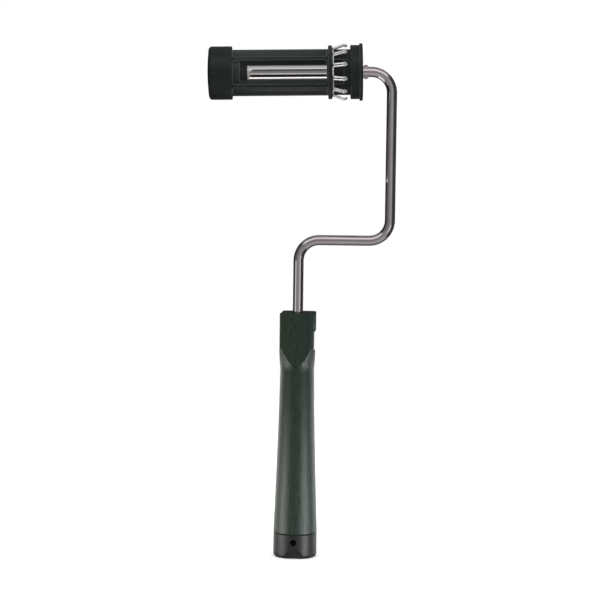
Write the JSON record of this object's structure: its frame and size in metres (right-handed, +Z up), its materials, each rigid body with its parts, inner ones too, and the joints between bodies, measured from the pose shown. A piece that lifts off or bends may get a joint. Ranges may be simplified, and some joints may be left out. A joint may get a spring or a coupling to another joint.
{
  "type": "paint roller frame",
  "caption": "Short paint roller frame: cranked plated steel shank, free-turning cage with a wire cover spring, and a tapered handle with a threaded pole socket.",
  "frame": {"origin": "centre of the pole socket's mouth at the lower end of the handle", "axes": "+Z up the handle and the lower leg of the shank, +X towards the upright leg, -X towards the roller's nose, -Y towards the front of the handle"},
  "size_m": [0.1318, 0.0398, 0.3601],
  "materials": {
    "plated_rod": "bright plated bar with faint draw lines",
    "green_grip": "satin moulded polypropylene, very dark green",
    "black_insert": "satin black moulded plastic",
    "cage_nylon": "satin moulded nylon, black with a green cast",
    "bearing_plastic": "dull brown-black bearing plastic",
    "spring_wire": "bright drawn spring wire",
    "sleeve_steel": "bright rolled steel tube",
    "zinc_fittings": "zinc plated"
  },
  "bodies": {
    "frame": {"shank": "plated_rod", "grip": "green_grip", "threaded_insert": "black_insert", "tip_washer": "zinc_fittings", "push_nut": "zinc_fittings"},
    "cage": {"cage_body": "cage_nylon", "nose_cap": "cage_nylon", "retainer_cap": "cage_nylon", "cover_spring": "spring_wire", "inner_bearing": "bearing_plastic", "outer_bearing": "bearing_plastic"},
    "sleeve": {"axle_sleeve": "sleeve_steel", "thrust_washers": "sleeve_steel"}
  },
  "joints": [
    {"name": "cage_spin", "type": "hinge", "parent": "frame", "child": "cage", "pos_m": [-0.00658, 0, 0.33923], "axis": [0.9998, 0, 0.0209], "continuous": true},
    {"name": "sleeve_spin", "type": "hinge", "parent": "frame", "child": "sleeve", "pos_m": [-0.00658, 0, 0.33923], "axis": [0.9998, 0, 0.0209], "continuous": true}
  ]
}
